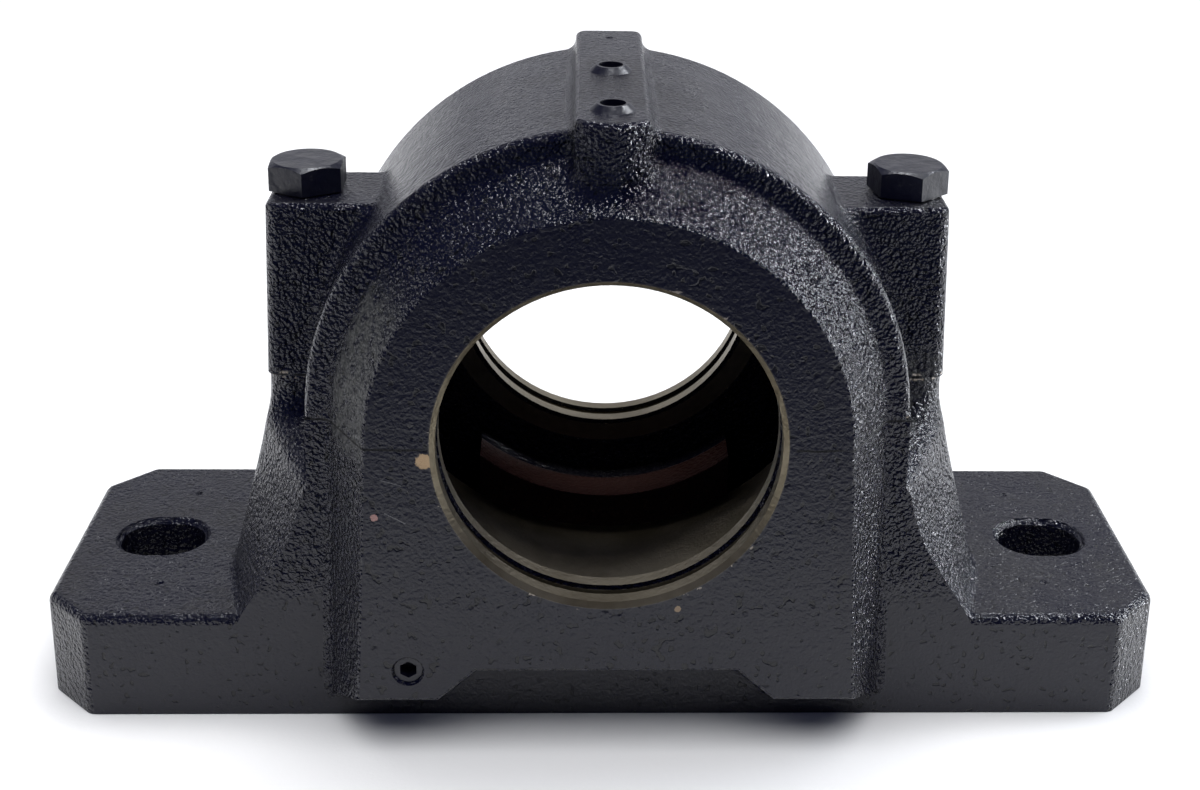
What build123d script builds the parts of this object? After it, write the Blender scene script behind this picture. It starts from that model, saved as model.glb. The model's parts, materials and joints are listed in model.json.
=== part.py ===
from build123d import *
import os

# Split plummer block housing, in millimetres.
# X runs along the foot, Y along the shaft, Z up from the mounting face.

# Foot
CENTRE_HEIGHT = 100.0
FOOT_LENGTH = 345.0
FOOT_WIDTH = 100.0
FOOT_HEIGHT = 34.0
FOOT_CORNER_CUT = 14.0
FOOT_CORNER_ROUND = 4.0
FOOT_EDGE_ROUND = 3.0
SLOT_END = 27.5
SLOT_SPACING = FOOT_LENGTH - 2 * SLOT_END
SLOT_WIDTH = 22.0
SLOT_LENGTH = 27.0
SLOT_EDGE_ROUND = 1.8
MARK_INSET = 5.5
MARK_X = SLOT_SPACING / 2 - MARK_INSET
MARK_EDGE = 20.5
MARK_Y = FOOT_WIDTH / 2 - MARK_EDGE
MARK_RADIUS = 1.3
MARK_DEPTH = 0.8
MARK_TIP = 0.2

# Cores that hollow the underside
CORE_WALL = 10.0
CORE_HALF_DEPTH = FOOT_WIDTH / 2 - CORE_WALL
CORE_CORNER = 6.0
CENTRE_CORE_HALF = 64.0
CENTRE_CORE_TOP = 11.0
SIDE_CORE_INNER = 72.0
SIDE_CORE_OUTER = 109.0
SIDE_CORE_SHOULDER = 14.0
SIDE_CORE_ROOF = 96.0
SIDE_CORE_DROP = 52.0
SIDE_CORE_TOP = CENTRE_HEIGHT - SIDE_CORE_DROP

# Barrel and bearing seat
BARREL_RADIUS = 89.0
BARREL_DEPTH = FOOT_WIDTH
BARREL_RIM_ROUND = 2.5
SEAT_RADIUS = 80.0
SEAT_WIDTH = 65.0

# Conical shaft bosses and their seal grooves
BOSS_ROOT_RADIUS = 82.0
BOSS_FACE_RADIUS = 69.6
HOUSING_DEPTH = 140.0
BOSS_ROOT_FOOT_HALF = 84.5
BOSS_FACE_FOOT_HALF = 73.7
BOSS_ROOT_BOTTOM = 8.0
BOSS_FACE_BOTTOM = 18.3
BOSS_ROOT_ROUND = 4.0
BOSS_FACE_ROUND = 1.2
NOTCH_DEPTH = 10.0
NOTCH_TOP_HALF = 38.5
NOTCH_FOOT_HALF = 49.8
NOTCH_ROOT_FLARE = 2.0
BORE_RADIUS = 49.5
BORE_CHAMFER = 1.5
SEAL_GROOVE_RADIUS = 56.0
SEAL_GROOVE_INNER = 59.3
SEAL_GROOVE_OUTER = 64.2
END_WALL_INNER = 54.8

# Grease chambers either side of the bearing seat
CHAMBER_RADIUS = 68.0
CHAMBER_HALF = 66.0
SUMP_DROP = 77.0
SUMP_BOTTOM = CENTRE_HEIGHT - SUMP_DROP
SUMP_CORNER = 8.0
SUMP_INNER = 43.0

# Bolt ears and columns
EAR_RISE = 55.0
EAR_TOP = CENTRE_HEIGHT + EAR_RISE
EAR_HALF = 105.2
EAR_HALF_DEPTH = 18.4
EAR_DRAFT = 1.5
EAR_CORNER_ROUND = 4.0
EAR_BLEND = 5.0
EAR_EDGE_ROUND = 2.0
EAR_SEAM_INNER = 68.0

# Flared flanks between the columns and the foot
FLANK_INNER = 60.0
FLANK_BURIED = 20.0
FLANK_BLEND = 8.0
FLANK_COLUMN_TOE_X = 122.1
FLANK_COLUMN_BEND_X = 111.66
FLANK_COLUMN_BEND_DROP = 38.0
FLANK_COLUMN_BEND_Z = CENTRE_HEIGHT - FLANK_COLUMN_BEND_DROP
FLANK_COLUMN_HEAD_DROP = 10.0
FLANK_COLUMN_HEAD_Z = CENTRE_HEIGHT - FLANK_COLUMN_HEAD_DROP
FLANK_COLUMN_COVE = 0.4
FLANK_RIM_TOE_X = 120.0
FLANK_RIM_BEND_X = 99.7
FLANK_RIM_BEND_DROP = 48.0
FLANK_RIM_BEND_Z = CENTRE_HEIGHT - FLANK_RIM_BEND_DROP
FLANK_RIM_HEAD_X = 90.2
FLANK_RIM_HEAD_DROP = 20.0
FLANK_RIM_HEAD_Z = CENTRE_HEIGHT - FLANK_RIM_HEAD_DROP
FLANK_RIM_COVE = 1.8

# Ridge with the grease holes
RIDGE_RISE = 94.0
RIDGE_TOP = CENTRE_HEIGHT + RIDGE_RISE
RIDGE_HALF = 10.8
RIDGE_FRONT_SETBACK = 7.0
RIDGE_FRONT = HOUSING_DEPTH / 2 - RIDGE_FRONT_SETBACK
RIDGE_FRONT_BOW = 4.8
RIDGE_FRONT_SIDE = RIDGE_FRONT - RIDGE_FRONT_BOW
RIDGE_BURIED = 10.0
RIDGE_SINK = RIDGE_TOP - RIDGE_BURIED
NOSE_BURIED = 24.0
NOSE_SINK = RIDGE_TOP - NOSE_BURIED
NOSE_ROUND = 3.4
NOSE_INSIDE = 5.0
RIDGE_EDGE_ROUND = 2.0
RIDGE_REAR_ROUND = 3.5
GREASE_HOLE_RADIUS = 4.5
GREASE_FRONT_SETBACK = 15.5
GREASE_FRONT_Y = GREASE_FRONT_SETBACK - RIDGE_FRONT
GREASE_REAR_Y = -4.0
RIDGE_MARK_INSET = 11.5
RIDGE_MARK_Y = BARREL_DEPTH / 2 - RIDGE_MARK_INSET

# Cap bolts, M14
BOLT_X = 92.8
BOLT_RADIUS = 7.0
BOLT_HOLE_RADIUS = 7.5
BOLT_LENGTH = 90.0
BOLT_HEAD_ACROSS = 22.0
BOLT_HEAD_HEIGHT = 9.2
BOLT_HEAD_TOP_RADIUS = 10.4
BOLT_WASHER_FACE = 0.6
BOLT_HEAD_SLOPE = 1.73
BOLT_TIP = 1.5
TAPPED_EXTRA = 6.0
THREAD_CLEARANCE = 0.05
BOLT_TURN_LEFT = 30.0
BOLT_TURN_RIGHT = 41.0

# Dowel pins between base and cap
DOWEL_X = 98.4
DOWEL_Y = 12.8
DOWEL_RADIUS = 2.5
DOWEL_LENGTH = 14.0
DOWEL_CHAMFER = 0.5
DOWEL_CLEARANCE = 0.02

# Grease plugs
PLUG_FLANGE_RADIUS = 6.5
PLUG_RIM_RADIUS = 4.5
PLUG_STAND = 1.8
PLUG_SHANK = 9.0
PLUG_RECESS_RADIUS = 3.7
PLUG_RECESS_DEPTH = 5.0

# Drain plug
DRAIN_X = -58.5
DRAIN_Z = 28.0
DRAIN_RADIUS = 4.1
DRAIN_LENGTH = 10.0
DRAIN_SINK = 1.0
DRAIN_MOUTH = 0.7
DRAIN_HEX_ACROSS = 4.8
DRAIN_HEX_DEPTH = 5.0

HEX_SIDES = 6
HALF_LENGTH = FOOT_LENGTH / 2
HALF_WIDTH = FOOT_WIDTH / 2
HALF_BARREL = BARREL_DEPTH / 2
HALF_HOUSING = HOUSING_DEPTH / 2
HALF_SEAT = SEAT_WIDTH / 2
SIDES = (-1, 1)
NEAR = 0.1


def outline_xz(points, y):
    """Closed face in the XZ plane at the given Y."""
    corners = [Vector(x, y, z) for x, z in points]
    return make_face(Polyline(*corners, close=True))


def slab_y(points, low, high):
    """XZ outline carried along Y between two planes."""
    return extrude(outline_xz(points, low), amount=high - low, dir=(0, 1, 0))


def disc_y(x, z, radius, y):
    """Disc that faces along Y."""
    return Plane(origin=(x, y, z), z_dir=(0, 1, 0)) * Circle(radius)


def shaft_disc(radius, y):
    """Disc on the shaft axis."""
    return disc_y(0, CENTRE_HEIGHT, radius, y)


def shaft_cylinder(radius, low, high):
    """Cylinder on the shaft axis between two Y planes."""
    return extrude(shaft_disc(radius, low), amount=high - low, dir=(0, 1, 0))


def cylinder_z(x, y, radius, low, high):
    """Upright cylinder between two heights."""
    return extrude(Pos(x, y, low) * Circle(radius), amount=high - low)


def cone_z(x, y, low_radius, high_radius, low, high):
    """Upright cone between two heights."""
    return loft([Pos(x, y, low) * Circle(low_radius), Pos(x, y, high) * Circle(high_radius)])


def box_between(low, high):
    """Box from its low corner to its high corner."""
    size = [b - a for a, b in zip(low, high)]
    middle = [(a + b) / 2 for a, b in zip(low, high)]
    return Pos(*middle) * Box(*size)


def above_split():
    """Block that fills everything above the split."""
    reach = FOOT_LENGTH
    return box_between((-reach, -reach, CENTRE_HEIGHT), (reach, reach, CENTRE_HEIGHT + reach))


def edges_at_height(shape, z):
    """Edges whose middle lies at one height."""
    return [e for e in shape.edges() if abs(e.center().Z - z) < NEAR]


def edges_at_depth(shape, y):
    """Edges whose middle lies in one plane front or back."""
    return [e for e in shape.edges() if abs(abs(e.center().Y) - y) < NEAR]


# Inside of the housing, shared by base and cap


def shaft_opening():
    """Bore through both end walls with its seal grooves and chamfered mouths."""
    space = shaft_cylinder(BORE_RADIUS, -HALF_HOUSING, HALF_HOUSING)
    for side in SIDES:
        low, high = sorted((side * SEAL_GROOVE_INNER, side * SEAL_GROOVE_OUTER))
        space += shaft_cylinder(SEAL_GROOVE_RADIUS, low, high)
        mouth = shaft_disc(BORE_RADIUS + BORE_CHAMFER, side * HALF_HOUSING)
        throat = shaft_disc(BORE_RADIUS, side * (HALF_HOUSING - BORE_CHAMFER))
        space += loft([throat, mouth])
    return space


def sump_pocket(side):
    """Lower outer corner of a grease chamber, wide enough to join it."""
    inner, outer = sorted((side * SUMP_INNER, side * CHAMBER_HALF))
    low = (inner, HALF_SEAT, SUMP_BOTTOM)
    pocket = box_between(low, (outer, END_WALL_INNER, CENTRE_HEIGHT))
    lower = edges_at_height(pocket, SUMP_BOTTOM)
    corners = [e for e in lower if abs(e.center().X - side * CHAMBER_HALF) < NEAR]
    return fillet(corners, SUMP_CORNER)


def grease_chambers():
    """Cast chambers either side of the bearing seat, with sumps in their lower corners."""
    space = shaft_cylinder(CHAMBER_RADIUS, -END_WALL_INNER, END_WALL_INNER)
    for side in SIDES:
        rear = sump_pocket(side)
        space += rear + mirror(rear, Plane.XZ)
    return space


def cavity():
    """All the room inside the closed housing."""
    return shaft_cylinder(SEAT_RADIUS, -HALF_SEAT, HALF_SEAT) + grease_chambers() + shaft_opening()


def dowel_holes(low, high):
    """Holes for the two dowel pins, set on opposite corners."""
    radius = DOWEL_RADIUS + DOWEL_CLEARANCE
    return [cylinder_z(side * DOWEL_X, side * DOWEL_Y, radius, low, high) for side in SIDES]


# Base casting


def foot_plate():
    """Mounting foot with cut corners, upper edges still sharp."""
    cut = FOOT_CORNER_CUT
    outline = Polyline(
        (-HALF_LENGTH, cut - HALF_WIDTH),
        (cut - HALF_LENGTH, -HALF_WIDTH),
        (HALF_LENGTH - cut, -HALF_WIDTH),
        (HALF_LENGTH, cut - HALF_WIDTH),
        (HALF_LENGTH, HALF_WIDTH - cut),
        (HALF_LENGTH - cut, HALF_WIDTH),
        (cut - HALF_LENGTH, HALF_WIDTH),
        (-HALF_LENGTH, HALF_WIDTH - cut),
        close=True,
    )
    plate = extrude(make_face(outline), amount=FOOT_HEIGHT)
    return fillet(plate.edges().filter_by(Axis.Z), FOOT_CORNER_ROUND)


def flank_section(side, y, toe, bend, head, cove):
    """Flank cross-section: straight flare below, cove above."""
    hollow = ((bend[0] + head[0]) / 2 - cove, (bend[1] + head[1]) / 2)
    start = Vector(side * FLANK_INNER, y, FLANK_BURIED)
    end = Vector(side * FLANK_INNER, y, head[1])
    toe, bend, hollow, head = [Vector(side * x, y, z) for x, z in (toe, bend, hollow, head)]
    flare = [Line(start, toe), Line(toe, bend), ThreePointArc(bend, hollow, head)]
    return make_face(flare + [Line(head, end), Line(end, start)])


def rim_section(side, y):
    """Flank cross-section in the plane of the barrel rim."""
    toe = (FLANK_RIM_TOE_X, FLANK_BURIED)
    bend = (FLANK_RIM_BEND_X, FLANK_RIM_BEND_Z)
    head = (FLANK_RIM_HEAD_X, FLANK_RIM_HEAD_Z)
    return flank_section(side, y, toe, bend, head, FLANK_RIM_COVE)


def column_section(side, y):
    """Flank cross-section where it runs up into the bolt column."""
    toe = (FLANK_COLUMN_TOE_X, FLANK_BURIED)
    bend = (FLANK_COLUMN_BEND_X, FLANK_COLUMN_BEND_Z)
    head = (EAR_HALF, FLANK_COLUMN_HEAD_Z)
    return flank_section(side, y, toe, bend, head, FLANK_COLUMN_COVE)


def flank_creases(shape):
    """Edges of the column, the wings and their shoulders that are blended together."""
    found = []
    for edge in shape.edges():
        middle = edge.center()
        across = abs(middle.Y)
        outside = abs(middle.X) > FLANK_INNER + NEAR
        corner = abs(across - EAR_HALF_DEPTH) < NEAR and FLANK_BURIED < middle.Z < CENTRE_HEIGHT - NEAR
        shoulder = EAR_HALF_DEPTH + NEAR < across < HALF_WIDTH - NEAR and middle.Z > FLANK_RIM_HEAD_Z
        if outside and (corner or shoulder):
            found.append(edge)
    return found


def flank(side):
    """Flank and bolt column of one side, creases blended."""
    depth = EAR_HALF_DEPTH
    middle = extrude(column_section(side, -depth), amount=2 * depth, dir=(0, 1, 0))
    front = loft([rim_section(side, -HALF_WIDTH), column_section(side, -depth)], ruled=True)
    back = loft([column_section(side, depth), rim_section(side, HALF_WIDTH)], ruled=True)
    inner, outer = sorted((side * FLANK_INNER, side * EAR_HALF))
    column = box_between((inner, -depth, FLANK_COLUMN_BEND_Z), (outer, depth, CENTRE_HEIGHT))
    shape = middle + front + back + column
    return fillet(flank_creases(shape), FLANK_BLEND)


def lower_boss_outline(top_half, foot_half, bottom, flare, y):
    """Straight-sided boss outline with the notch in its lower edge."""
    low_half = NOTCH_FOOT_HALF + flare
    high_half = NOTCH_TOP_HALF + flare
    notch_top = bottom + NOTCH_DEPTH
    points = [
        (-top_half, CENTRE_HEIGHT),
        (top_half, CENTRE_HEIGHT),
        (foot_half, bottom),
        (low_half, bottom),
        (high_half, notch_top),
        (-high_half, notch_top),
        (-low_half, bottom),
        (-foot_half, bottom),
    ]
    return outline_xz(points, y)


def lower_boss(side):
    """Shaft boss below the split, drafted to the sides and sloped underneath."""
    root_shape = (BOSS_ROOT_RADIUS, BOSS_ROOT_FOOT_HALF, BOSS_ROOT_BOTTOM, NOTCH_ROOT_FLARE)
    face_shape = (BOSS_FACE_RADIUS, BOSS_FACE_FOOT_HALF, BOSS_FACE_BOTTOM, 0)
    root = lower_boss_outline(*root_shape, side * HALF_BARREL)
    face = lower_boss_outline(*face_shape, side * HALF_HOUSING)
    return loft([root, face], ruled=True)


def boss_root_edges(shape):
    """Sides and lower edge where the bosses leave the base."""
    found = edges_at_depth(shape, HALF_BARREL)
    reach = BOSS_ROOT_FOOT_HALF + NEAR
    low = BOSS_ROOT_BOTTOM - NEAR
    high = CENTRE_HEIGHT - NEAR
    return [e for e in found if abs(e.center().X) < reach and low < e.center().Z < high]


def boss_face_edges(shape):
    """Outline of the boss faces below the split."""
    return [e for e in edges_at_depth(shape, HALF_HOUSING) if e.center().Z < CENTRE_HEIGHT - NEAR]


def base_blank():
    """Outside of the base casting."""
    body_low = (-BARREL_RADIUS, -HALF_BARREL, FLANK_BURIED)
    body_high = (BARREL_RADIUS, HALF_BARREL, CENTRE_HEIGHT)
    shape = foot_plate() + box_between(body_low, body_high) + flank(-1) + flank(1)
    shape = fillet(edges_at_height(shape, FOOT_HEIGHT), FOOT_EDGE_ROUND)
    shape = shape + lower_boss(-1) + lower_boss(1)
    shape = fillet(boss_root_edges(shape), BOSS_ROOT_ROUND)
    return fillet(boss_face_edges(shape), BOSS_FACE_ROUND)


def centre_core():
    """Shallow hollow under the bearing seat."""
    pad = RectangleRounded(2 * CENTRE_CORE_HALF, 2 * CORE_HALF_DEPTH, CORE_CORNER)
    return extrude(pad, amount=CENTRE_CORE_TOP)


def side_core(side):
    """Deeper hollow under one flank, its outer wall leaning in with the flank."""
    corners = [
        (SIDE_CORE_INNER, 0),
        (SIDE_CORE_INNER, SIDE_CORE_TOP),
        (SIDE_CORE_ROOF, SIDE_CORE_TOP),
        (SIDE_CORE_OUTER, SIDE_CORE_SHOULDER),
        (SIDE_CORE_OUTER, 0),
    ]
    outline = [(side * x, z) for x, z in corners]
    hollow = slab_y(outline, -CORE_HALF_DEPTH, CORE_HALF_DEPTH)
    upright = hollow.edges().filter_by(Axis.Z)
    return fillet(upright, CORE_CORNER)


def foot_slot(x):
    """Through slot for a foundation bolt, its upper edge opened out."""
    slot = SlotOverall(SLOT_LENGTH, SLOT_WIDTH)
    mouth = offset(slot, amount=SLOT_EDGE_ROUND)
    through = extrude(Pos(x, 0, 0) * slot, amount=FOOT_HEIGHT)
    flare = loft([Pos(x, 0, FOOT_HEIGHT - SLOT_EDGE_ROUND) * slot, Pos(x, 0, FOOT_HEIGHT) * mouth])
    return through + flare


def marks():
    """Small drill marks on the foot for extra locating pins."""
    found = []
    for x in (-MARK_X, MARK_X):
        for y in (-MARK_Y, MARK_Y):
            found.append(cone_z(x, y, MARK_TIP, MARK_RADIUS, FOOT_HEIGHT - MARK_DEPTH, FOOT_HEIGHT))
    return found


def tapped_holes():
    """Holes for the cap bolts, threads left plain."""
    bottom = EAR_TOP - BOLT_LENGTH - TAPPED_EXTRA
    radius = BOLT_RADIUS + THREAD_CLEARANCE
    return [cylinder_z(side * BOLT_X, 0, radius, bottom, CENTRE_HEIGHT) for side in SIDES]


def drain_hole():
    """Hole from the front boss face into the sump, with a chamfered mouth."""
    radius = DRAIN_RADIUS + THREAD_CLEARANCE
    start = disc_y(DRAIN_X, DRAIN_Z, radius, -HALF_HOUSING)
    bore = extrude(start, amount=HALF_HOUSING - HALF_BARREL, dir=(0, 1, 0))
    mouth = disc_y(DRAIN_X, DRAIN_Z, radius + DRAIN_MOUTH, -HALF_HOUSING)
    throat = disc_y(DRAIN_X, DRAIN_Z, radius, DRAIN_MOUTH - HALF_HOUSING)
    return bore + loft([mouth, throat])


def base():
    shape = base_blank() - cavity() - drain_hole() - centre_core() - side_core(-1) - side_core(1)
    pin_bottom = CENTRE_HEIGHT - DOWEL_LENGTH / 2 - DOWEL_CHAMFER
    slots = [foot_slot(side * SLOT_SPACING / 2) for side in SIDES]
    for tool in slots + marks() + tapped_holes() + dowel_holes(pin_bottom, CENTRE_HEIGHT):
        shape -= tool
    return shape


# Cap casting


def ears():
    """Both bolt ears as one drafted block that passes behind the barrel."""
    outline = Rectangle(2 * EAR_HALF, 2 * EAR_HALF_DEPTH)
    block = extrude(Pos(0, 0, CENTRE_HEIGHT) * outline, amount=EAR_TOP - CENTRE_HEIGHT, taper=EAR_DRAFT)
    upright = [e for e in block.edges() if CENTRE_HEIGHT + NEAR < e.center().Z < EAR_TOP - NEAR]
    block = fillet(upright, EAR_CORNER_ROUND)
    return fillet(edges_at_height(block, EAR_TOP), EAR_EDGE_ROUND)


def ear_seams(shape):
    """Edges where the ears run into the barrel."""
    found = []
    for edge in shape.edges():
        middle = edge.center()
        inside = EAR_SEAM_INNER < abs(middle.X) < BARREL_RADIUS
        level = CENTRE_HEIGHT + NEAR < middle.Z < EAR_TOP + NEAR
        seam = edge.geom_type != GeomType.LINE or abs(middle.Y) < NEAR
        if inside and level and abs(middle.Y) < EAR_HALF_DEPTH and seam:
            found.append(edge)
    return found


def upper_boss(side):
    """Conical shaft boss above the split."""
    root = shaft_disc(BOSS_ROOT_RADIUS, side * HALF_BARREL)
    face = shaft_disc(BOSS_FACE_RADIUS, side * HALF_HOUSING)
    return loft([root, face]) & above_split()


def ridge_outline(z):
    """Ridge seen from above, with its curved front end."""
    back_left = Vector(-RIDGE_HALF, HALF_BARREL, z)
    front_left = Vector(-RIDGE_HALF, -RIDGE_FRONT_SIDE, z)
    tip = Vector(0, -RIDGE_FRONT, z)
    front_right = Vector(RIDGE_HALF, -RIDGE_FRONT_SIDE, z)
    back_right = Vector(RIDGE_HALF, HALF_BARREL, z)
    straight = [Line(back_left, front_left), Line(front_right, back_right), Line(back_right, back_left)]
    return make_face(straight + [ThreePointArc(front_left, tip, front_right)])


def ridge():
    """Flat-topped ridge that ends in a rounded nose over the front boss."""
    top = extrude(ridge_outline(RIDGE_SINK), amount=RIDGE_TOP - RIDGE_SINK)
    nose = extrude(ridge_outline(NOSE_SINK), amount=RIDGE_TOP - NOSE_SINK)
    room_low = (-RIDGE_HALF, -HALF_HOUSING, NOSE_SINK)
    room_high = (RIDGE_HALF, NOSE_INSIDE - HALF_BARREL, RIDGE_TOP)
    shape = top + (nose & box_between(room_low, room_high))
    upright = [e for e in shape.edges() if e.length > RIDGE_TOP - RIDGE_SINK]
    return fillet([e for e in upright if abs(e.center().Y + RIDGE_FRONT_SIDE) < NEAR], NOSE_ROUND)


def ridge_seams(shape):
    """Long edges where the ridge runs into the barrel."""
    found = [e for e in shape.edges() if abs(abs(e.center().X) - RIDGE_HALF) < NEAR]
    return [e for e in found if abs(e.center().Y) < NEAR and e.center().Z < RIDGE_TOP - NEAR]


def nose_seams(shape):
    """Edges where the nose runs into the rim and the boss."""
    found = []
    for edge in shape.edges():
        middle = edge.center()
        ahead = NEAR - HALF_HOUSING < middle.Y < NEAR - HALF_BARREL
        level = CENTRE_HEIGHT + BOSS_FACE_RADIUS < middle.Z < RIDGE_TOP - NEAR
        upright = edge.geom_type == GeomType.LINE and middle.Y < -HALF_BARREL - NEAR
        if ahead and level and abs(middle.X) < RIDGE_HALF + NEAR and not upright:
            found.append(edge)
    return found


def ridge_rear_corners(shape):
    """Upright corners at the rear end of the ridge."""
    found = [e for e in shape.edges() if abs(e.center().Y - HALF_BARREL) < NEAR]
    level = CENTRE_HEIGHT + BARREL_RADIUS - NEAR
    return [e for e in found if abs(abs(e.center().X) - RIDGE_HALF) < NEAR and e.center().Z > level]


def arcs_of(shape, radius):
    """Circular edges of one radius around the shaft axis."""
    arcs = shape.edges().filter_by(GeomType.CIRCLE)
    return [e for e in arcs if abs(e.radius - radius) < NEAR and abs(e.arc_center.Z - CENTRE_HEIGHT) < NEAR]


def cap_blank():
    """Outside of the cap casting."""
    barrel = shaft_cylinder(BARREL_RADIUS, -HALF_BARREL, HALF_BARREL) & above_split()
    shape = barrel + ears()
    shape = fillet(ear_seams(shape), EAR_BLEND)
    shape = shape + upper_boss(-1) + upper_boss(1) + ridge()
    inner_corners = ridge_seams(shape) + nose_seams(shape) + arcs_of(shape, BOSS_ROOT_RADIUS)
    shape = fillet(inner_corners, BOSS_ROOT_ROUND)
    shape = fillet(ridge_rear_corners(shape), RIDGE_REAR_ROUND)
    shape = fillet(edges_at_height(shape, RIDGE_TOP), RIDGE_EDGE_ROUND)
    shape = fillet(arcs_of(shape, BARREL_RADIUS), BARREL_RIM_ROUND)
    return fillet(arcs_of(shape, BOSS_FACE_RADIUS), BOSS_FACE_ROUND)


def grease_holes():
    """Holes from the ridge into the housing."""
    holes = []
    for y in (GREASE_FRONT_Y, GREASE_REAR_Y):
        holes.append(cylinder_z(0, y, GREASE_HOLE_RADIUS, CENTRE_HEIGHT, RIDGE_TOP))
    return holes


def cap():
    shape = cap_blank() - (cavity() & above_split())
    for side in SIDES:
        shape -= cylinder_z(side * BOLT_X, 0, BOLT_HOLE_RADIUS, CENTRE_HEIGHT, EAR_TOP)
    pin_top = CENTRE_HEIGHT + DOWEL_LENGTH / 2 + DOWEL_CHAMFER
    for tool in grease_holes() + dowel_holes(CENTRE_HEIGHT, pin_top):
        shape -= tool
    return shape - cone_z(0, RIDGE_MARK_Y, MARK_TIP, MARK_RADIUS, RIDGE_TOP - MARK_DEPTH, RIDGE_TOP)


# Fasteners and plugs


def cap_bolt(side, turn):
    """Hexagon bolt with a washer face and a chamfered head."""
    x = side * BOLT_X
    head_bottom = EAR_TOP + BOLT_WASHER_FACE
    head_top = EAR_TOP + BOLT_HEAD_HEIGHT
    tip = EAR_TOP - BOLT_LENGTH
    flats = RegularPolygon(BOLT_HEAD_ACROSS / 2, HEX_SIDES, major_radius=False, rotation=turn)
    head = extrude(Pos(x, 0, head_bottom) * flats, amount=head_top - head_bottom)
    wide = BOLT_HEAD_TOP_RADIUS + (head_top - head_bottom) * BOLT_HEAD_SLOPE
    head = head & cone_z(x, 0, wide, BOLT_HEAD_TOP_RADIUS, head_bottom, head_top)
    washer = cylinder_z(x, 0, BOLT_HEAD_TOP_RADIUS, EAR_TOP, head_bottom)
    shank = cylinder_z(x, 0, BOLT_RADIUS, tip + BOLT_TIP, EAR_TOP)
    point = cone_z(x, 0, BOLT_RADIUS - BOLT_TIP, BOLT_RADIUS, tip, tip + BOLT_TIP)
    return head + washer + shank + point


def dowel_pin(side):
    """Plain pin across the split."""
    low = CENTRE_HEIGHT - DOWEL_LENGTH / 2
    pin = cylinder_z(side * DOWEL_X, side * DOWEL_Y, DOWEL_RADIUS, low, low + DOWEL_LENGTH)
    return chamfer(pin.edges().filter_by(GeomType.CIRCLE), DOWEL_CHAMFER)


def grease_plug(y):
    """Press-in plug: conical flange, open recess, plain shank."""
    shank = cylinder_z(0, y, GREASE_HOLE_RADIUS - THREAD_CLEARANCE, RIDGE_TOP - PLUG_SHANK, RIDGE_TOP)
    flange = cone_z(0, y, PLUG_FLANGE_RADIUS, PLUG_RIM_RADIUS, RIDGE_TOP, RIDGE_TOP + PLUG_STAND)
    rim = RIDGE_TOP + PLUG_STAND
    return shank + flange - cylinder_z(0, y, PLUG_RECESS_RADIUS, rim - PLUG_RECESS_DEPTH, rim)


def drain_plug():
    """Threaded plug with a hexagon socket, thread left plain."""
    face = DRAIN_SINK - HALF_HOUSING
    body = extrude(disc_y(DRAIN_X, DRAIN_Z, DRAIN_RADIUS, face), amount=DRAIN_LENGTH, dir=(0, 1, 0))
    flats = RegularPolygon(DRAIN_HEX_ACROSS / 2, HEX_SIDES, major_radius=False)
    socket = Plane(origin=(DRAIN_X, face, DRAIN_Z), z_dir=(0, 1, 0)) * flats
    return body - extrude(socket, amount=DRAIN_HEX_DEPTH, dir=(0, 1, 0))


NODES = {
    "base": base(),
    "cap": cap(),
    "cap_bolt_left": cap_bolt(-1, BOLT_TURN_LEFT),
    "cap_bolt_right": cap_bolt(1, BOLT_TURN_RIGHT),
    "dowel_pin_left": dowel_pin(-1),
    "dowel_pin_right": dowel_pin(1),
    "grease_plug_front": grease_plug(GREASE_FRONT_Y),
    "grease_plug_rear": grease_plug(GREASE_REAR_Y),
    "drain_plug": drain_plug(),
}

os.makedirs("parts", exist_ok=True)
for name, shape in NODES.items():
    export_step(shape, f"parts/{name}.step")
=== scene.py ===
"""Looks of a split plummer block: black paint over raw castings, bolts, plugs, floor, lights and camera."""

import json
import math

import bpy
from mathutils import Matrix, Vector


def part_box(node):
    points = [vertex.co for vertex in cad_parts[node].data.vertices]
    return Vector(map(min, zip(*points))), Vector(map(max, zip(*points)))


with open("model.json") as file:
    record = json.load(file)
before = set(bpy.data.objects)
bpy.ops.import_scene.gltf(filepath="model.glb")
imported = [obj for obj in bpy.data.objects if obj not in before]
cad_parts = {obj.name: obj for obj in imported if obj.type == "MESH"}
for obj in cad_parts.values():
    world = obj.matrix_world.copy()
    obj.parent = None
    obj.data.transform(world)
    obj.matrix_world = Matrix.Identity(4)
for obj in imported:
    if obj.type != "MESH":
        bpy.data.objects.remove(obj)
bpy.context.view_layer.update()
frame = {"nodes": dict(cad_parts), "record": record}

# The housing's own places in metres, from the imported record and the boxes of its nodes.
MOUNTS = {m["name"]: m for m in frame["record"]["mounts"]}
BASE_LOW, BASE_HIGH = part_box("base")
CAP_LOW, CAP_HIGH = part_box("cap")
SPLIT_Z = CAP_LOW.z
FACE_Y = BASE_LOW.y
BORE_R = 0.0495
RIM_HALF = 0.050

# Paint colours, linear.
PAINT = (0.0013, 0.0016, 0.0085)
# Greyer paint of the dusty patches, also a painted sheen on upward faces.
PAINT_DUST_AND_SHEEN = (0.0135, 0.0122, 0.0105)
PRIMER = (0.034, 0.011, 0.008)
MACHINED = (0.235, 0.205, 0.145)
OXIDE = (0.150, 0.062, 0.024)
# Bare iron of the nicks, also the colour of the painted glints at the split.
BARE_IRON_AND_GLINT = (0.42, 0.37, 0.31)
BLACK = (0.0015, 0.0015, 0.002)


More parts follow.
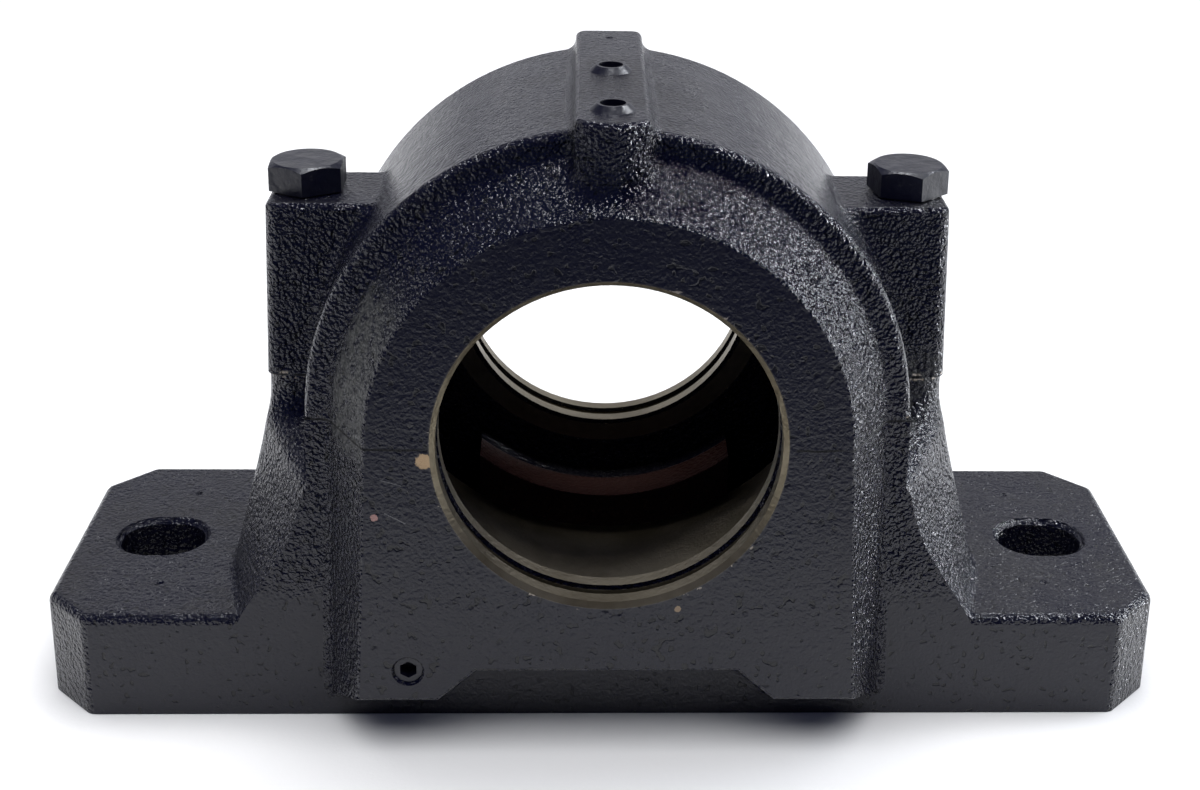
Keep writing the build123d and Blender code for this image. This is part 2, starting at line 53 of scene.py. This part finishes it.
class Nodes:
    """A short way to write one material's nodes."""

    def __init__(self, name):
        self.material = bpy.data.materials.new(name)
        self.material.use_nodes = True
        self.tree = self.material.node_tree
        self.shader = self.tree.nodes["Principled BSDF"]
        self.place = self.tree.nodes.new("ShaderNodeTexCoord").outputs["Object"]
        self.geometry = self.tree.nodes.new("ShaderNodeNewGeometry")
        split = self.tree.nodes.new("ShaderNodeSeparateXYZ")
        self.link(self.place, split.inputs[0])
        self.x, self.y, self.z = split.outputs
        facing = self.tree.nodes.new("ShaderNodeSeparateXYZ")
        self.link(self.geometry.outputs["Normal"], facing.inputs[0])
        self.nx, self.ny, self.nz = facing.outputs

    def link(self, value, socket):
        if hasattr(value, "is_output"):
            self.tree.links.new(value, socket)
        else:
            socket.default_value = value

    def math(self, operation, a, b=0.0, c=0.0):
        node = self.tree.nodes.new("ShaderNodeMath")
        node.operation = operation
        for value, socket in zip((a, b, c), node.inputs):
            self.link(value, socket)
        return node.outputs[0]

    def ramp(self, value, low, high, to_low=0.0, to_high=1.0):
        node = self.tree.nodes.new("ShaderNodeMapRange")
        node.interpolation_type = "SMOOTHSTEP"
        for given, name in (
            (value, "Value"),
            (low, "From Min"),
            (high, "From Max"),
            (to_low, "To Min"),
            (to_high, "To Max"),
        ):
            self.link(given, node.inputs[name])
        return node.outputs[0]

    def noise(self, scale, detail=3.0, rough=0.55, seed=0.0):
        node = self.tree.nodes.new("ShaderNodeTexNoise")
        shift = self.tree.nodes.new("ShaderNodeVectorMath")
        self.link(self.place, shift.inputs[0])
        shift.inputs[1].default_value = (seed * 0.013, seed * 0.007, seed * 0.011)
        self.link(shift.outputs[0], node.inputs["Vector"])
        for name, value in (
            ("Scale", scale),
            ("Detail", detail),
            ("Roughness", rough),
        ):
            node.inputs[name].default_value = value
        return node.outputs["Fac"]

    def cells(self, scale, seed=1.0):
        node = self.tree.nodes.new("ShaderNodeTexVoronoi")
        self.link(self.place, node.inputs["Vector"])
        node.inputs["Scale"].default_value = scale
        node.inputs["Randomness"].default_value = seed
        return node.outputs["Distance"]

    def times(self, *values):
        total = values[0]
        for value in values[1:]:
            total = self.math("MULTIPLY", total, value)
        return total

    def colour(self, share, first, second):
        node = self.tree.nodes.new("ShaderNodeMix")
        node.data_type = "RGBA"
        self.link(share, node.inputs["Factor"])
        for value, socket in ((first, node.inputs[6]), (second, node.inputs[7])):
            self.link((*value, 1.0) if isinstance(value, tuple) else value, socket)
        return node.outputs[2]

    def number(self, share, first, second):
        node = self.tree.nodes.new("ShaderNodeMix")
        for value, name in ((share, "Factor"), (first, "A"), (second, "B")):
            self.link(value, node.inputs[name])
        return node.outputs[0]

    def bump(self, height, distance, before=None, strength=1.0):
        node = self.tree.nodes.new("ShaderNodeBump")
        self.link(height, node.inputs["Height"])
        node.inputs["Distance"].default_value = distance
        self.link(strength, node.inputs["Strength"])
        if before is not None:
            self.link(before, node.inputs["Normal"])
        return node.outputs["Normal"]

    def spot(self, centre, radius, wobble=0.35, scale=900.0):
        """1 inside an uneven spot round a point of the casting, 0 outside."""
        node = self.tree.nodes.new("ShaderNodeVectorMath")
        node.operation = "DISTANCE"
        self.link(self.place, node.inputs[0])
        node.inputs[1].default_value = centre
        uneven = self.math("MULTIPLY_ADD", self.noise(scale, 2.0, seed=centre[0] * 90), radius * wobble * 2, -radius * wobble)
        away = self.math("ADD", node.outputs["Value"], uneven)
        return self.ramp(away, radius * 0.8, radius, 1.0, 0.0)

    def line(self, start, end, half_width):
        """1 along a thin scratch between two points of a front face, 0 away from it."""
        a, b = Vector(start), Vector(end)
        along = (b - a).normalized()
        offset = self.tree.nodes.new("ShaderNodeVectorMath")
        offset.operation = "SUBTRACT"
        self.link(self.place, offset.inputs[0])
        offset.inputs[1].default_value = a
        dot = self.tree.nodes.new("ShaderNodeVectorMath")
        dot.operation = "DOT_PRODUCT"
        self.link(offset.outputs[0], dot.inputs[0])
        dot.inputs[1].default_value = along
        run = dot.outputs["Value"]
        cross = self.tree.nodes.new("ShaderNodeVectorMath")
        cross.operation = "CROSS_PRODUCT"
        self.link(offset.outputs[0], cross.inputs[0])
        cross.inputs[1].default_value = along
        size = self.tree.nodes.new("ShaderNodeVectorMath")
        size.operation = "LENGTH"
        self.link(cross.outputs[0], size.inputs[0])
        near = self.ramp(size.outputs["Value"], half_width * 0.5, half_width, 1.0, 0.0)
        length = (b - a).length
        inside = self.times(
            self.ramp(run, -half_width, 0.0), self.ramp(run, length, length + half_width, 1.0, 0.0)
        )
        return self.times(near, inside)


def casting_paint(name, upper):
    """Semi-gloss black paint over a sand casting, with the machined and primed surfaces inside it."""
    n = Nodes(name)
    above = n.math("SUBTRACT", n.z, SPLIT_Z)
    radius = n.math("SQRT", n.math("ADD", n.times(n.x, n.x), n.times(above, above)))
    depth = n.math("ABSOLUTE", n.y)

    # Where the surface is: a flat front face, a skyward face, or a rough casting skin.
    front = n.ramp(n.math("ABSOLUTE", n.ny), 0.985, 0.998)
    face = n.times(front, n.ramp(depth, 0.068, 0.0695))
    low_front = n.times(front, n.ramp(depth, 0.046, 0.049), n.ramp(depth, 0.0505, 0.0525, 1.0, 0.0), n.ramp(n.z, 0.036, 0.050, 1.0, 0.0))
    sky = n.ramp(n.nz, 0.90, 0.99)
    smooth = n.math("MAXIMUM", n.times(face, 0.88), n.times(low_front, 0.90))
    smooth = n.math("MAXIMUM", smooth, n.times(sky, 0.55))
    skin = n.math("SUBTRACT", 1.0, smooth)

    # Inside the housing: primed chamber, turned bearing seat, bores and lips.
    inside = n.times(n.ramp(radius, 0.0805, 0.0812, 1.0, 0.0), n.ramp(depth, 0.0676, 0.0682, 1.0, 0.0))
    toward = n.math("ADD", n.times(n.nx, n.x), n.times(n.nz, above))
    inward = n.ramp(toward, -0.012, -0.004, 1.0, 0.0)
    deep = n.times(inside, n.ramp(depth, 0.0455, 0.0462, 1.0, 0.0), n.ramp(radius, 0.0505, 0.0525))
    seat = n.times(inward, n.ramp(radius, 0.0790, 0.0797), n.ramp(radius, 0.0808, 0.0816, 1.0, 0.0), n.ramp(depth, 0.0322, 0.0327, 1.0, 0.0))
    bore = n.times(inward, n.ramp(radius, BORE_R + 0.0018, BORE_R + 0.0026, 1.0, 0.0))
    lip = n.times(n.ramp(radius, BORE_R + 0.0012, BORE_R + 0.0020, 1.0, 0.0), n.ramp(depth, 0.064, 0.066))
    groove = n.times(n.ramp(radius, 0.0508, 0.0515), n.ramp(radius, 0.0570, 0.0578, 1.0, 0.0), n.ramp(depth, 0.0675, 0.0682, 1.0, 0.0))
    machined = n.math("MAXIMUM", n.math("MAXIMUM", seat, bore), n.times(groove, n.ramp(depth, 0.046, 0.048)))
    primer = n.times(deep, n.math("SUBTRACT", 1.0, machined))

    # Cast grain, orange peel, sand pores, and soft waves in the skin.
    wave = n.noise(75.0, 0.0, 0.5, 3.1)
    peel = n.noise(640.0, 1.0, 0.55, 7.7)
    grain = n.noise(1500.0, 1.0, 0.6, 1.3)
    beads = n.math("SUBTRACT", 1.0, n.cells(760.0))
    pores = n.ramp(n.noise(520.0, 0.0, 0.5, 17.0), 0.27, 0.34)
    rare = n.ramp(n.noise(140.0, 0.0, 0.5, 12.0), 0.40, 0.56)
    pitted = n.math("SUBTRACT", 1.0, n.times(n.math("SUBTRACT", 1.0, pores), rare))

    # Paint: near black, greyer in thin, dusty patches, and a painted sheen that makes upward faces paler.
    dusty = n.ramp(n.noise(34.0, 2.0, 0.6, 5.0), 0.36, 0.72)
    fine = n.ramp(n.noise(900.0, 1.0, 0.6, 9.0), 0.42, 0.66)
    dust_and_top_sheen = n.times(n.math("ADD", 0.12, n.times(dusty, 0.50)), n.math("ADD", 0.45, n.times(fine, 0.55)))
    # Painted sheen: the greying is kept mostly to upward faces.
    dust_and_top_sheen = n.times(dust_and_top_sheen, n.math("ADD", 0.10, n.times(sky, 0.90)))
    colour = n.colour(dust_and_top_sheen, PAINT, PAINT_DUST_AND_SHEEN)
    gone = n.times(pores, 1.0)
    colour = n.colour(n.times(n.math("SUBTRACT", 1.0, gone), rare, 0.8), colour, BLACK)

    # The thin dry patch low on the left of the cone, and the paler one on the right by the split.
    cone = n.times(n.ramp(depth, 0.0508, 0.054), n.ramp(depth, 0.0690, 0.0698, 1.0, 0.0))
    left_patch = n.times(cone, n.ramp(n.x, -0.050, -0.070, 0.0, 1.0), n.ramp(n.z, 0.090, 0.100), n.ramp(n.z, 0.135, 0.152, 1.0, 0.0), n.ramp(n.y, 0.0, -0.01, 0.0, 1.0))
    right_patch = n.times(n.ramp(n.x, 0.088, 0.094), n.ramp(n.z, 0.082, 0.092), n.ramp(n.z, 0.104, 0.112, 1.0, 0.0))
    dry = n.math("MAXIMUM", n.times(left_patch, 0.55), n.times(right_patch, 0.35))
    dry = n.times(dry, n.ramp(n.noise(260.0, 4.0, 0.65, 21.0), 0.30, 0.62))
    colour = n.colour(dry, colour, (0.060, 0.062, 0.056))

    # Chips, rust and scratches where the finish was knocked.
    chip = n.spot((-0.0524, FACE_Y, 0.0964), 0.0026)
    pink = n.spot((-0.0670, FACE_Y, 0.0786), 0.0012)
    low_chip = n.spot((0.0205, FACE_Y, 0.0490), 0.0011)
    rust = n.spot((0.0345, -0.0600, 0.1525), 0.0022)
    rust = n.math("MAXIMUM", rust, n.times(n.spot((0.0634, -0.0600, 0.1207), 0.0040), n.ramp(n.noise(1100.0, 2.0, seed=31.0), 0.46, 0.54)))
    scratch = n.math("MAXIMUM", n.line((-0.0640, FACE_Y, 0.0800), (-0.0582, FACE_Y, 0.0768), 0.00022), n.line((-0.0650, FACE_Y, 0.0905), (-0.0592, FACE_Y, 0.0888), 0.00018))
    colour = n.colour(n.times(scratch, 0.7), colour, (0.09, 0.09, 0.095))
    colour = n.colour(n.math("MAXIMUM", n.times(chip, 0.9), n.times(low_chip, 0.5)), colour, (0.36, 0.25, 0.14))
    colour = n.colour(n.times(pink, 0.8), colour, (0.30, 0.16, 0.14))
    colour = n.colour(n.times(rust, 0.75), colour, OXIDE)

    # Bare nicks round the front edge of the bore, and painted glints of light on the rim where the two halves meet.
    nick = n.times(n.ramp(n.noise(520.0, 2.0, 0.5, 41.0), 0.655, 0.69), n.ramp(radius, BORE_R + 0.0005, BORE_R + 0.0012), n.ramp(radius, BORE_R + 0.0020, BORE_R + 0.0027, 1.0, 0.0), n.ramp(depth, 0.0680, 0.0690))
    wavy = n.math("MULTIPLY_ADD", n.noise(160.0, 3.0, 0.6, 51.0), 0.0012, -0.0006)
    seam_at = n.math("ABSOLUTE", n.math("ADD", above, n.times(wavy, n.ramp(depth, 0.066, 0.069, 0.25, 1.0))))
    outer = n.ramp(radius, BORE_R + 0.003, BORE_R + 0.004)
    crack = n.times(n.ramp(seam_at, 0.00022, 0.00048, 1.0, 0.0), outer, n.ramp(n.noise(95.0, 2.0, 0.5, 55.0), 0.33, 0.42))
    glint = n.times(n.ramp(seam_at, 0.0004, 0.0007), n.ramp(seam_at, 0.0009, 0.0014, 1.0, 0.0), n.ramp(radius, 0.084, 0.088), n.ramp(n.noise(330.0, 2.0, 0.5, 61.0), 0.52, 0.58))
    nicks_and_painted_glints = n.math("MAXIMUM", n.times(nick, 0.5), n.times(glint, 0.9))
    colour = n.colour(nicks_and_painted_glints, colour, BARE_IRON_AND_GLINT)
    colour = n.colour(crack, colour, BLACK)

    # Turned iron and dark red primer.
    turning = n.noise(900.0, 2.0, 0.5, 71.0)
    stain = n.ramp(n.noise(60.0, 3.0, 0.6, 72.0), 0.35, 0.7)
    iron = n.colour(n.times(stain, 0.6), MACHINED, (0.110, 0.088, 0.052))
    colour = n.colour(primer, colour, n.colour(n.times(fine, 0.5), PRIMER, (0.024, 0.010, 0.008)))
    colour = n.colour(n.math("MAXIMUM", machined, n.times(lip, 0.30)), colour, iron)
    n.link(colour, n.shader.inputs["Base Color"])

    n.link(n.math("MAXIMUM", n.times(machined, 0.85), n.times(nicks_and_painted_glints, 0.8)), n.shader.inputs["Metallic"])
    gloss = n.math("ADD", n.number(skin, 0.26, 0.11), n.times(n.noise(210.0, 1.0, 0.6, 81.0), 0.12))
    gloss = n.math("ADD", gloss, n.times(dust_and_top_sheen, 0.30))
    gloss = n.math("ADD", gloss, n.times(dry, 0.35))
    gloss = n.number(n.math("MAXIMUM", primer, n.math("MAXIMUM", crack, chip)), gloss, 0.75)
    gloss = n.number(machined, gloss, n.math("ADD", 0.28, n.times(turning, 0.22)))
    n.link(gloss, n.shader.inputs["Roughness"])
    n.shader.inputs["IOR"].default_value = 1.46

    painted = n.math("SUBTRACT", 1.0, n.times(machined, 0.85))
    normal = n.bump(wave, 0.0011, None, n.times(skin, painted, 0.8))
    normal = n.bump(peel, 0.0010, normal, n.times(n.math("ADD", 0.10, n.times(skin, 0.90)), painted))
    normal = n.bump(beads, 0.00060, normal, n.times(n.math("ADD", 0.06, n.times(skin, 0.85)), painted))
    normal = n.bump(grain, 0.00042, normal, n.times(n.math("ADD", 0.30, n.times(skin, 0.60)), painted))
    normal = n.bump(pitted, 0.00025, normal, painted)
    n.link(normal, n.shader.inputs["Normal"])
    return n.material


def hardware_paint(name, tint, gloss_low, grain_height):
    """Painted steel of the cap bolts and plugs, thinner and smoother than on the castings."""
    n = Nodes(name)
    sky = n.ramp(n.nz, 0.85, 0.99)
    # Paler in dusty patches, with a painted sheen mostly on upward faces.
    dust_and_top_sheen = n.times(n.ramp(n.noise(160.0, 4.0, 0.6, 4.0), 0.35, 0.7), n.math("ADD", 0.15, n.times(sky, 0.6)))
    scuff = n.ramp(n.noise(620.0, 3.0, 0.65, 6.0), 0.62, 0.70)
    colour = n.colour(n.times(dust_and_top_sheen, 0.6), PAINT, tint)
    colour = n.colour(n.times(scuff, 0.35), colour, (0.055, 0.053, 0.050))
    n.link(colour, n.shader.inputs["Base Color"])
    n.link(n.math("ADD", gloss_low, n.times(n.noise(240.0, 3.0, 0.6, 8.0), 0.22)), n.shader.inputs["Roughness"])
    normal = n.bump(n.noise(180.0, 2.0, 0.5, 9.0), 0.0004)
    normal = n.bump(n.noise(950.0, 3.0, 0.6, 11.0), grain_height, normal)
    n.link(normal, n.shader.inputs["Normal"])
    return n.material


def pin_steel(name):
    """Ground steel of the dowel pins."""
    n = Nodes(name)
    n.link(n.colour(n.noise(300.0, 3.0, 0.6, 2.0), (0.30, 0.30, 0.31), (0.44, 0.44, 0.45)), n.shader.inputs["Base Color"])
    n.shader.inputs["Metallic"].default_value = 1.0
    n.link(n.math("ADD", 0.22, n.times(n.noise(700.0, 3.0, 0.6, 5.0), 0.2)), n.shader.inputs["Roughness"])
    n.link(n.bump(n.noise(1600.0, 2.0, 0.5, 6.0), 0.00006), n.shader.inputs["Normal"])
    return n.material


def floor_paper(name):
    """Matt white paper under the housing."""
    n = Nodes(name)
    n.link(n.colour(n.noise(3.0, 3.0, 0.5, 1.0), (0.82, 0.82, 0.82), (0.86, 0.86, 0.86)), n.shader.inputs["Base Color"])
    n.shader.inputs["Roughness"].default_value = 0.9
    n.link(n.bump(n.noise(900.0, 2.0, 0.5, 3.0), 0.00005), n.shader.inputs["Normal"])
    return n.material


def dress(nodes, material):
    for node in nodes:
        slots = frame["nodes"][node].data.materials
        slots.clear()
        slots.append(material)


dress(["base"], casting_paint("casting_paint_base", False))
dress(["cap"], casting_paint("casting_paint_cap", True))
dress(["cap_bolt_left", "cap_bolt_right"], hardware_paint("bolt_paint", (0.020, 0.020, 0.021), 0.24, 0.00010))
dress(["grease_plug_front", "grease_plug_rear", "drain_plug"], hardware_paint("plug_paint", (0.026, 0.026, 0.027), 0.26, 0.00008))
dress(["dowel_pin_left", "dowel_pin_right"], pin_steel("pin_steel"))


def floor(half, under):
    """A plain pale floor, just under the feet."""
    mesh = bpy.data.meshes.new("floor")
    corners = [(-half, -half, under), (half, -half, under), (half, half, under), (-half, half, under)]
    mesh.from_pydata(corners, [], [(0, 1, 2, 3)])
    piece = bpy.data.objects.new("floor", mesh)
    bpy.context.scene.collection.objects.link(piece)
    mesh.materials.append(floor_paper("floor_paper"))


def softbox(name, centre, target, width, height, radiance, colour):
    """A soft studio light of a size, an aim and an even brightness."""
    lamp = bpy.data.lights.new(name, "AREA")
    lamp.shape = "RECTANGLE"
    lamp.size, lamp.size_y = width, height
    lamp.energy = 4 * width * height * radiance
    lamp.color = colour
    box = bpy.data.objects.new(name, lamp)
    bpy.context.scene.collection.objects.link(box)
    box.location = centre
    box.rotation_euler = (Vector(target) - Vector(centre)).to_track_quat("-Z", "Y").to_euler()
    box.visible_camera = False
    return box


def dark_end(start, end, half):
    """The dim far end of the room in front, seen only as a reflection in the front faces."""
    mesh = bpy.data.meshes.new("dark_end")
    mesh.from_pydata([(-half, end, 0.0), (half, end, 0.0), (half, start, 0.0), (-half, start, 0.0)], [], [(0, 1, 2, 3)])
    piece = bpy.data.objects.new("dark_end", mesh)
    bpy.context.scene.collection.objects.link(piece)
    piece.location.z = 0.001
    n = Nodes("dark_end")
    near = n.ramp(n.y, start - 0.13, start)
    far = n.ramp(n.y, start - 0.50, start - 0.13)
    tint = n.colour(near, n.colour(far, (0.020, 0.026, 0.085), (0.15, 0.165, 0.26)), (0.95, 0.97, 1.0))
    light = n.tree.nodes.new("ShaderNodeEmission")
    n.link(tint, light.inputs["Color"])
    n.tree.links.new(light.outputs[0], n.tree.nodes["Material Output"].inputs["Surface"])
    mesh.materials.append(n.material)
    for ray in ("camera", "diffuse", "transmission", "volume_scatter", "shadow"):
        setattr(piece, "visible_" + ray, False)


def studio():
    world = bpy.data.worlds.new("studio")
    bpy.context.scene.world = world
    world.use_nodes = True
    sheet = world.node_tree.nodes["Background"]
    sheet.inputs["Color"].default_value = (0.38, 0.43, 0.80, 1.0)
    sheet.inputs["Strength"].default_value = 0.13
    middle = (0.0, 0.0, 0.10)
    softbox("over_light", (0.1, 0.30, 1.45), middle, 0.7, 0.45, 3.0, (1.0, 0.99, 0.98))
    softbox("back_light", (-0.25, 1.7, 0.62), middle, 3.0, 1.1, 0.52, (1.0, 1.0, 1.0))
    softbox("right_light", (1.20, 0.30, 0.62), middle, 0.5, 0.9, 2.6, (0.80, 0.88, 1.0))
    softbox("left_light", (-1.25, 0.10, 0.20), middle, 0.7, 0.36, 0.9, (1.0, 0.99, 0.95))
    fill = softbox("floor_light", (0.0, -0.2, 2.2), (0.0, -0.1, 0.0), 3.2, 3.2, 2.5, (1.0, 1.0, 1.0))
    fill.visible_glossy = False
    for name, place, size, radiance in (
        ("glint_right", (1.00, 0.30, 1.05), 0.26, 60.0),
        ("glint_over", (0.02, 0.20, 1.50), 0.22, 50.0),
        ("glint_side", (1.25, 0.20, 0.22), 0.22, 60.0),
    ):
        glint = softbox(name, place, middle, size, size, radiance, (0.92, 0.95, 1.0))
        glint.visible_diffuse = False


def camera(place, yaw, pitch, roll, focal_px, centre_px, image):
    """A level-free view from a place, by the angles of its axis and the focal length in widths."""
    right = Vector((math.cos(yaw), math.sin(yaw), 0.0))
    ahead = Vector((-math.sin(yaw), math.cos(yaw), 0.0))
    up = Vector((0.0, 0.0, 1.0))
    ahead, up = ahead * math.cos(pitch) - up * math.sin(pitch), up * math.cos(pitch) + ahead * math.sin(pitch)
    right, up = right * math.cos(roll) + up * math.sin(roll), up * math.cos(roll) - right * math.sin(roll)
    lens = bpy.data.cameras.new("camera")
    lens.sensor_width = 36.0
    lens.lens = focal_px / image[0] * lens.sensor_width
    lens.shift_x = (image[0] / 2 - centre_px[0]) / image[0]
    lens.shift_y = (centre_px[1] - image[1] / 2) / image[0]
    lens.clip_start, lens.clip_end = 0.01, 50.0
    view = bpy.data.objects.new("camera", lens)
    bpy.context.scene.collection.objects.link(view)
    turn = Matrix((right, up, -ahead)).transposed().to_4x4()
    view.matrix_world = Matrix.Translation(place) @ turn
    bpy.context.scene.camera = view


floor(6.0, BASE_LOW.z - 0.0002)
dark_end(-0.20, -2.5, 2.5)
studio()
camera((-0.00822, -0.52857, 0.32758), -0.0355973, 0.3192887, 0.0187210, 1792.44, (643.17, 196.27), (1200, 790))
bpy.context.scene.view_settings.view_transform = "Standard"
